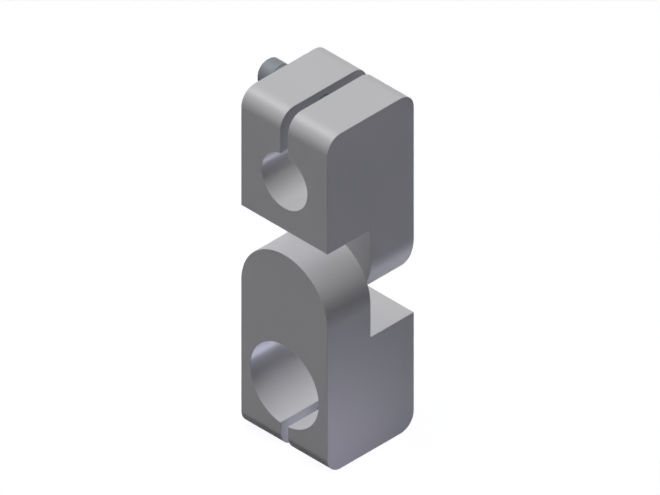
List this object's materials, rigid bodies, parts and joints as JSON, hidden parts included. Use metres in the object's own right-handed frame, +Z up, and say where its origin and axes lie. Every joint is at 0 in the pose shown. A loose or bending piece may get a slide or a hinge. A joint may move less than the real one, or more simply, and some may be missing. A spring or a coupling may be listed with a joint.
{
  "type": "parallel tube clamp",
  "caption": "Swivel clamp that holds two parallel round tubes of different diameter in slit, screw-tightened bores and turns between them on a pivot screw.",
  "frame": {"origin": "on the axis of the lower, larger tube bore, at mid depth", "axes": "+Z up from the lower bore to the upper bore, +Y along both tube bores to the rear tongue, +X away from the clamping screws' heads"},
  "size_m": [0.0456, 0.038, 0.1275],
  "materials": {
    "satin_aluminium": "fine satin, light grey",
    "dark_screw_steel": "blued dark grey",
    "spring_steel": "dark spring steel"
  },
  "bodies": {
    "lower_clamp": {"lower_clamp_half": "satin_aluminium"},
    "upper_clamp": {"upper_clamp_half": "satin_aluminium"},
    "upper_screw_washer": {"upper_lock_washer": "spring_steel"},
    "upper_screw": {"upper_clamp_screw": "dark_screw_steel"},
    "lower_screw_washer": {"lower_lock_washer": "spring_steel"},
    "lower_screw": {"lower_clamp_screw": "dark_screw_steel"},
    "pivot_washer": {"pivot_lock_washer": "spring_steel"},
    "pivot": {"pivot_screw": "dark_screw_steel"}
  },
  "joints": [
    {"name": "swivel", "type": "hinge", "parent": "lower_clamp", "child": "upper_clamp", "pos_m": [0, 0, 0.03875], "axis": [0, 1, 0], "range_deg": [-90, 90]},
    {"name": "upper_screw_travel", "type": "slide", "parent": "upper_clamp", "child": "upper_screw_washer", "axis": [-1, 0, 0], "range_m": [0, 0.002]},
    {"name": "upper_screw_turn", "type": "hinge", "parent": "upper_screw_washer", "child": "upper_screw", "pos_m": [-0.019, 0, 0.0969], "axis": [-1, 0, 0], "range_deg": [0, 720]},
    {"name": "lower_screw_travel", "type": "slide", "parent": "lower_clamp", "child": "lower_screw_washer", "axis": [-1, 0, 0], "range_m": [0, 0.002]},
    {"name": "lower_screw_turn", "type": "hinge", "parent": "lower_screw_washer", "child": "lower_screw", "pos_m": [-0.019, 0, -0.0194], "axis": [-1, 0, 0], "range_deg": [0, 720]},
    {"name": "pivot_screw_travel", "type": "slide", "parent": "lower_clamp", "child": "pivot_washer", "axis": [0, 1, 0], "range_m": [0, 0.0025]},
    {"name": "pivot_screw_turn", "type": "hinge", "parent": "pivot_washer", "child": "pivot", "pos_m": [0, 0.0104, 0.03875], "axis": [0, 1, 0], "range_deg": [0, 720]}
  ],
  "couplings": [
    {"joint": "upper_screw_turn", "follows": "upper_screw_travel", "rad_per_m": 6283.2},
    {"joint": "lower_screw_turn", "follows": "lower_screw_travel", "rad_per_m": 6283.2},
    {"joint": "pivot_screw_turn", "follows": "pivot_screw_travel", "rad_per_m": 5026.5}
  ]
}
